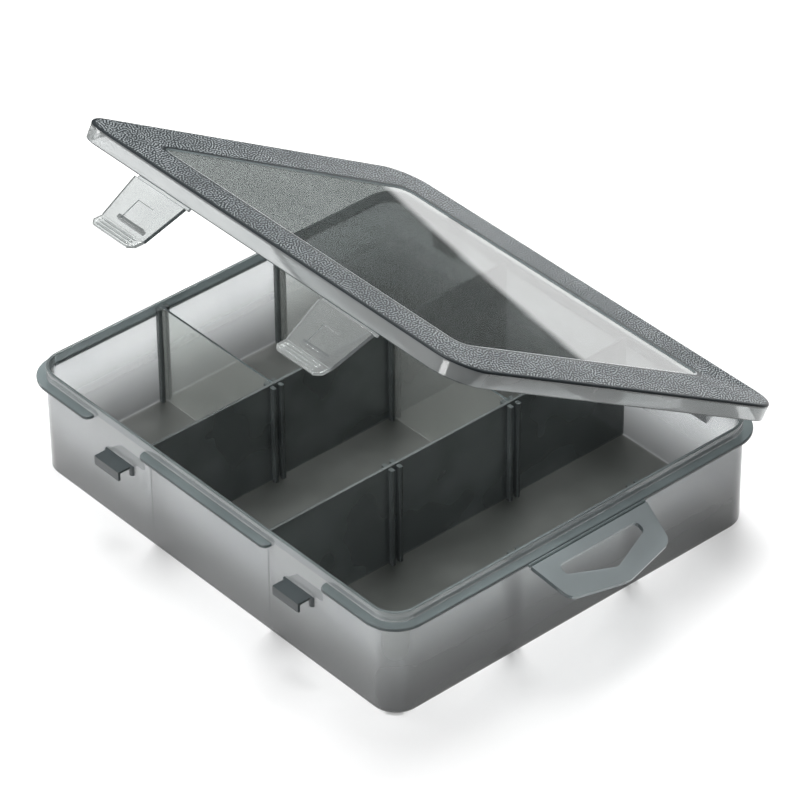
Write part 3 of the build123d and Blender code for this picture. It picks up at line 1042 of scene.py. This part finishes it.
# --- the lid ---
@dataclass
class Lid(Assembly):
    """The lid: grained border, sunk clear pane, skirt, hinge arms and latch strips.

    Attributes:
        radius: Corner radius of the outline.
        corner_spans: Spans in each corner.
        edge: Rounding of the top edge.
        window_radius: Corner radius of the window.
        bead_width: Width of the bead that holds the pane.
        bead_top: Share of that width that is level on top.
        bead_round: Rounding of the bead's edges.
        skirt_wall: Skirt thickness.
        skirt_edge: Rounding of the skirt's foot.
        foot_height: Height of the skirt's thinner foot.
        foot_thin: How much thinner the foot is.
        step: Grid step of the grained surface.
        smooth_edge: Ungrained band along the outer edge, half as wide as the one round the window.
        grain_along: Distance between the grain's ridges, along its lie.
        grain_across: Distance between them across its lie.
        grain_slant: Turn of the grain's lie from X, in degrees.
        grain_depth: Height of the grain.
        soft: Rounding of small edges.
    """

    radius: float = 16.6 * MM
    corner_spans: int = 14
    edge: float = 0.8 * MM
    window_radius: float = 7.0 * MM
    bead_width: float = 1.6 * MM
    bead_top: float = 0.55
    bead_round: float = 0.1 * MM
    skirt_wall: float = 1.8 * MM
    skirt_edge: float = 0.4 * MM
    foot_height: float = 2.4 * MM
    foot_thin: float = 0.25 * MM
    step: float = 0.48 * MM
    smooth_edge: float = 0.5 * MM
    grain_along: float = 1.15 * MM
    grain_across: float = 3.4 * MM
    grain_slant: float = 36.9
    grain_depth: float = 0.14 * MM
    soft: float = 0.3 * MM

    def build(self) -> None:
        """Builds every piece of the lid."""
        self.border()
        self.pane()
        self.skirt()
        for side in Side:
            self.place.dress(f"hinge_arm_{side.value}", self.soft, Slot.FLAP, (self.finishes.hinge,))
            self.place.dress(f"latch_film_{side.value}", self.soft / 3, Slot.FLAP, (self.finishes.skirt,))

    def dense_loop(self, half_x: float, half_y: float, radius: float, height: float,
                   spans: int) -> list[Vector]:
        """A rounded rectangle with many evenly shared points, matched from loop to loop.

        Args:
            half_x: Half size along X.
            half_y: Half size along Y.
            radius: Corner radius.
            height: Z of the loop.
            spans: Spans along each straight side.

        Returns:
            The points.
        """
        corners = rounded_loop(half_x, half_y, radius, height, self.corner_spans)
        each = len(corners) // 4
        points: list[Vector] = []
        for first in range(0, len(corners), each):
            start, end = corners[first + each - 1], corners[(first + each) % len(corners)]
            points += corners[first:first + each] + [start.lerp(end, i / spans) for i in range(1, spans)]
        return points

    def border(self) -> None:
        """The grained frame round the window."""
        low, high = self.place.box("lid_frame")
        window = self.place.box("lid_window")[1]
        body = high.z - self.grain_depth
        spans = round(2 * window.x / self.step)
        start = (high.x - self.edge, high.y - self.edge, self.radius - self.edge)
        end = (window.x, window.y, self.window_radius)
        width = start[0] - end[0]
        bands = round(width / self.step)
        outer = [(high.x, high.y, self.radius, low.z)]
        outer += [(high.x + dx, high.y + dx, self.radius + dx, body - self.edge + dz)
                  for dx, dz in arc((-self.edge, 0.0), self.edge, 0, 90, 4)]
        loops = [self.dense_loop(*size, spans) for size in outer]
        shares = [0.0] * len(loops)
        for band in range(1, bands + 1):
            t = band / bands
            size = [a + (b - a) * t for a, b in zip(start, end)]
            loops.append(self.dense_loop(*size, body, spans))
            inset = min(t, (1 - t) / 2) * width - self.smooth_edge
            shares.append(min(1.0, max(0.0, inset) / self.smooth_edge))
        loops.append(self.dense_loop(*end, low.z, spans))
        shares.append(0.0)
        mesh = loft(loops, "lid_border", ring=True)
        grain = mesh.attributes.new("grain", "FLOAT", "POINT")
        grain.data.foreach_set("value", [share for share in shares for _ in loops[0]])
        mesh = grown(self.trees.grain, {
            "Along": self.grain_along, "Across": self.grain_across, "Slant": radians(self.grain_slant),
            "Depth": self.grain_depth}, self.finishes.border, mesh)
        painted(mesh, (self.finishes.border, self.finishes.skirt),
                lambda face: abs(face.normal.z) < FLAT and face.center.z < body - self.edge)
        self.place.add("lid_border", smooth(mesh, 55.0), Slot.BORDER, ("lid_frame",))

    def pane(self) -> None:
        """The sunk clear pane and the stepped bead round it."""
        low, high = self.place.box("lid_window")
        edge = self.soft / 2
        profile = [(-edge, low.z), (0.0, low.z + edge), (0.0, high.z - edge), (-edge, high.z)]
        mesh = smooth(loft(carried(profile, high, self.window_radius), "lid_pane"))
        painted(mesh, (self.finishes.pane,))
        self.place.add("lid_pane", mesh, Slot.PANE, ("lid_window",))
        low, high = self.place.box("window_bead")
        profile = [(0.0, low.z), (0.0, high.z), (-self.bead_width * self.bead_top, high.z),
                   (-self.bead_width, low.z)]
        mesh = loft(carried(profile, high, self.window_radius), "pane_step", ring=True)
        mesh = bevelled(mesh, self.bead_round)
        self.place.add("pane_step", painted(mesh, (self.finishes.lip,)), Slot.PANE, ("window_bead",))

    def skirt(self) -> None:
        """The upright band, thinner at its foot."""
        low, high = self.place.box("lid_skirt")
        edge, wall = self.skirt_edge, self.skirt_wall
        foot = low.z + edge
        thin = -wall + self.foot_thin
        profile = [(0.0, high.z), (-wall, high.z), (-wall, low.z + self.foot_height), (thin, foot)]
        profile += arc((thin + edge, foot), edge, 180, 270, 3) + arc((-edge, foot), edge, 270, 360, 3)
        loops = carried(profile, high, self.radius, self.corner_spans)
        mesh = smooth(loft(loops, "lid_skirt_band", ring=True))
        # The foot's faces take the dark edge finish, a painted shade line.
        painted(mesh, (self.finishes.skirt, self.finishes.edge), lambda face: face.center.z < foot)
        self.place.add("lid_skirt_band", mesh, Slot.FLAP, ("lid_skirt",))


# --- latches and handle ---
@dataclass
class Latch(Assembly):
    """A snap latch: tapered flap with a sunk panel, flared ribbed grip and a bar behind.

    Its design frame has the film hinge at its origin.

    Attributes:
        side: Which latch it is.
        flare: Angle of the grip, in degrees.
        grip: Length of the grip.
        grip_round: Rounding of the grip's edges.
        ribs: Number of finger ribs.
        rib_pitch: Distance between ribs.
        rib_radius: Radius of a rib.
        rib_inset: Distance of a rib's end from the grip's side, as a share of the cut corner.
        corner: Size of the grip's cut corners.
        soft: Rounding of the other edges.
    """

    side: Side
    flare: float = 24.0
    grip: float = 7.2 * MM
    grip_round: float = 0.5 * MM
    ribs: int = 3
    rib_pitch: float = 1.9 * MM
    rib_radius: float = 0.62 * MM
    rib_inset: float = 0.9
    corner: float = 2.6 * MM
    soft: float = 0.35 * MM

    def build(self) -> None:
        """Builds the latch."""
        name = self.side.value
        # The plate's side faces take the dark edge finish, painted shade.
        self.place.dress(f"latch_plate_{name}", self.soft, Slot.FLAP,
                         (self.finishes.latch, self.finishes.edge),
                         lambda face: abs(face.normal.x) > FLAT)
        self.place.dress(f"latch_bar_{name}", self.soft, Slot.FLAP, (self.finishes.hinge,))
        self.flared_grip(name)

    def flared_grip(self, name: str) -> None:
        """The free end with its finger ribs.

        Args:
            name: The latch's side.
        """
        node = f"latch_grip_{name}"
        plate_low, plate_high = self.place.box(f"latch_plate_{name}")
        half = self.place.box(node)[1].x
        inner, outer, top = plate_high.y, plate_low.y, plate_low.z
        rise, run = sin(radians(self.flare)), cos(radians(self.flare))
        shape = ((0.0, half), (self.grip - self.corner, half), (self.grip, half - self.corner))
        rows = [[Vector((x, y - along * rise, top - along * run))
                 for x, y in ((-width, inner), (-width, outer), (width, outer), (width, inner))]
                for along, width in shape]
        mesh = painted(bevelled(loft(rows, node), self.grip_round, 3), (self.finishes.latch,))
        self.place.add(f"{node}_flare", mesh, Slot.FLAP, (node,))
        mesh = grown(self.trees.ribs, {
            "Count": self.ribs, "Pitch": self.rib_pitch, "Radius": self.rib_radius,
            "Length": 2 * (half - self.corner * self.rib_inset)}, self.finishes.latch)
        first = self.grip / 2 - (self.ribs - 1) / 2 * self.rib_pitch
        stand = Matrix.Translation((0, outer - first * rise, top - first * run))
        mesh.transform(stand @ Matrix.Rotation(radians(-self.flare), 4, "X"))
        self.place.add(f"{node}_ribs", smooth(mesh, 80.0), Slot.FLAP)


@dataclass
class Handle(Assembly):
    """The fold-out carry handle.

    Attributes:
        steep: Faces whose normal has a greater share of Y than this have the dark edge finish, painted shade.
        soft: Rounding of its edges.
    """

    steep: float = 0.6
    soft: float = 0.5 * MM

    def build(self) -> None:
        """Builds the flap."""
        self.place.dress("carry_handle", self.soft, Slot.FLAP, (self.finishes.flap, self.finishes.edge),
                         lambda face: abs(face.normal.y) > self.steep)


# --- studio ---
@dataclass(frozen=True)
class Lamp:
    """A square soft lamp: its name, place, side in metres and power."""

    name: str
    place: Point
    size: float
    watts: float


@dataclass
class Studio:
    """Pale floor, soft light and the camera.

    Attributes:
        azimuth: Camera direction, degrees from -Y towards +X.
        elevation: Camera height above the horizon, degrees.
        roll: Camera roll, degrees.
        distance: Camera to aim.
        aim: The point that the camera looks at.
        lens: Focal length in millimetres.
        sensor: Sensor width in millimetres.
        sheet: Distances between which the lit sheet under the box ends.
        dull: How much less light the floor throws back onto the box, 0 to 1.
        surround: Strength of the surround's light.
        backdrop: Brightness of the pale backdrop, which the floor runs into.
        far: Distances between which the floor runs into it.
        paper: The floor's colour.
        unlit: Its colour where no light falls on it.
        floor_half: Half the floor's width.
        floor_heights: The floor's underside and top.
        lit_point: The point that the lamps face.
        lamps: The lamps.
    """

    azimuth: float = 49.09
    elevation: float = 36.64
    roll: float = -0.48
    distance: float = 1.8446
    aim: Point = (0.0874, -0.0712, 0.1313)
    lens: float = 212.4
    sensor: float = 36.0
    sheet: tuple[float, float] = (0.45, 0.47)
    dull: float = 0.8
    surround: float = 0.22
    backdrop: float = 0.96
    far: tuple[float, float] = (0.6, 1.35)
    paper: Colour = (0.93, 0.93, 0.93)
    unlit: Colour = (0.02, 0.02, 0.02)
    floor_half: float = 4.0
    floor_heights: tuple[float, float] = (-20 * MM, -0.2 * MM)
    lit_point: Point = (0.0, 0.0, 0.03)
    lamps: tuple[Lamp, ...] = (Lamp("key_top", (-0.5, 0.55, 1.6), 0.9, 44.0),
                               Lamp("left_side", (-1.5, -0.85, 0.6), 0.7, 10.0),
                               Lamp("front_strip", (0.3, -1.55, 0.45), 0.5, 8.0))

    def build(self) -> None:
        """Sets the whole studio up."""
        self.floor()
        self.light()
        self.camera()

    def floor(self) -> None:
        """A wide pale floor, mirrored in the plastic only as far as its lit sheet reaches."""
        half = self.floor_half
        square = [(-half, -half), (half, -half), (half, half), (-half, half)]
        mesh = prism(square, *self.floor_heights, "floor")
        sketch = ShaderSketch("studio_floor")
        flat = sketch.add("ShaderNodeMapping", {"Vector": sketch.object_place(), "Scale": (1.0, 1.0, 0.0)})
        reach = sketch.add("ShaderNodeVectorMath", {0: flat.outputs[0]}, operation="LENGTH").outputs["Value"]
        path = sketch.add("ShaderNodeLightPath").outputs
        straight = sketch.math("SUBTRACT", 1.0, path["Is Transmission Ray"])
        mirrored = sketch.math("MULTIPLY", path["Is Glossy Ray"], straight)
        dark = sketch.math("MULTIPLY", mirrored, sketch.ranged(reach, *self.sheet))
        share = sketch.math("MULTIPLY_ADD", path["Is Diffuse Ray"], self.dull, dark)
        body = sketch.add("ShaderNodeBsdfPrincipled", {
            "Base Color": sketch.blend(share, self.paper, self.unlit), "Roughness": 0.9,
            "Specular IOR Level": 0.0})
        glow = sketch.add("ShaderNodeEmission", {"Strength": self.backdrop})
        seen = sketch.math("MAXIMUM", path["Is Camera Ray"], path["Is Transmission Ray"])
        far = sketch.math("MULTIPLY", sketch.ranged(reach, *self.far), seen)
        both = sketch.add("ShaderNodeMixShader", {0: far, 1: body.outputs[0], 2: glow.outputs[0]})
        stood("floor", painted(mesh, (sketch.done(both.outputs[0]),)))

    def light(self) -> None:
        """A dim surround that looks pale to the camera, and square soft lamps that face the box."""
        world = bpy.data.worlds.new("surround")
        world.use_nodes = True
        sketch = NodeSketch(world.node_tree)
        seen = sketch.add("ShaderNodeLightPath").outputs["Is Camera Ray"]
        strength = sketch.math("MULTIPLY_ADD", seen, self.backdrop - self.surround, self.surround)
        sky = sketch.add("ShaderNodeBackground", {"Strength": strength})
        sketch.add("ShaderNodeOutputWorld", {"Surface": sky.outputs[0]})
        bpy.context.scene.world = world
        for lamp in self.lamps:
            data = bpy.data.lights.new(lamp.name, "AREA")
            data.size = lamp.size
            data.energy = lamp.watts
            spot = stood(lamp.name, data)
            spot.location = lamp.place
            towards = Vector(self.lit_point) - Vector(lamp.place)
            spot.rotation_euler = towards.to_track_quat("-Z", "Y").to_euler()

    def camera(self) -> None:
        """The camera, with a long lens."""
        az, el, roll = (radians(a) for a in (self.azimuth, self.elevation, self.roll))
        back = Vector((sin(az) * cos(el), -cos(az) * cos(el), sin(el)))
        level = Vector((cos(az), sin(az), 0.0))
        upright = back.cross(level)
        right = level * cos(roll) + upright * sin(roll)
        up = upright * cos(roll) - level * sin(roll)
        data = bpy.data.cameras.new("camera")
        data.lens = self.lens
        data.sensor_width = self.sensor
        camera = stood("camera", data)
        stand = Matrix((right, up, back)).transposed().to_4x4()
        stand.translation = Vector(self.aim) + back * self.distance
        camera.matrix_world = stand
        bpy.context.scene.camera = camera
        bpy.context.scene.view_settings.view_transform = "Standard"


# --- the whole box ---
LATCH_OUT = 35.0       # degrees that a latch stands out from the skirt
HANDLE_DROOP = 21.0    # degrees that the handle hangs below level


def placements() -> dict[str, Placement]:
    """Finds where every rigid body's design frame stands.

    Returns:
        The frames by body name.
    """
    lid_joint = joint_named("lid_hinge")
    lid_open = -lid_joint["range_deg"][0]
    stands = {"base": Placement("base"), "lid": Placement("lid", turned(lid_joint["pos_m"], "X", -lid_open))}
    for side in Side:
        axis = joint_named(f"latch_{side.value}_film")["pos_m"]
        body = f"latch_{side.value}"
        stands[body] = Placement(body, turned(axis, "X", -lid_open - LATCH_OUT, Matrix()))
    axis = joint_named("handle_film_hinge")["pos_m"]
    stands["handle"] = Placement("handle", turned(axis, "Y", HANDLE_DROOP, Matrix()))
    for body in frame["bodies"]:
        stands.setdefault(body, Placement(body))
    return stands


def main() -> None:
    """Builds the whole scene, one sub-assembly after another."""
    logging.basicConfig(level=logging.INFO, format="%(name)s %(message)s")
    stands = placements()
    shared = (Finishes(), Trees())
    Tray(stands["base"], *shared).build()
    Inside(stands["base"], *shared).build()
    for body in sorted(stands):
        if body.startswith("divider"):
            Divider(stands[body], *shared).build()
    Lid(stands["lid"], *shared).build()
    for side in Side:
        Latch(stands[f"latch_{side.value}"], *shared, side).build()
    Handle(stands["handle"], *shared).build()
    Studio().build()


if __name__ == "__main__":
    main()
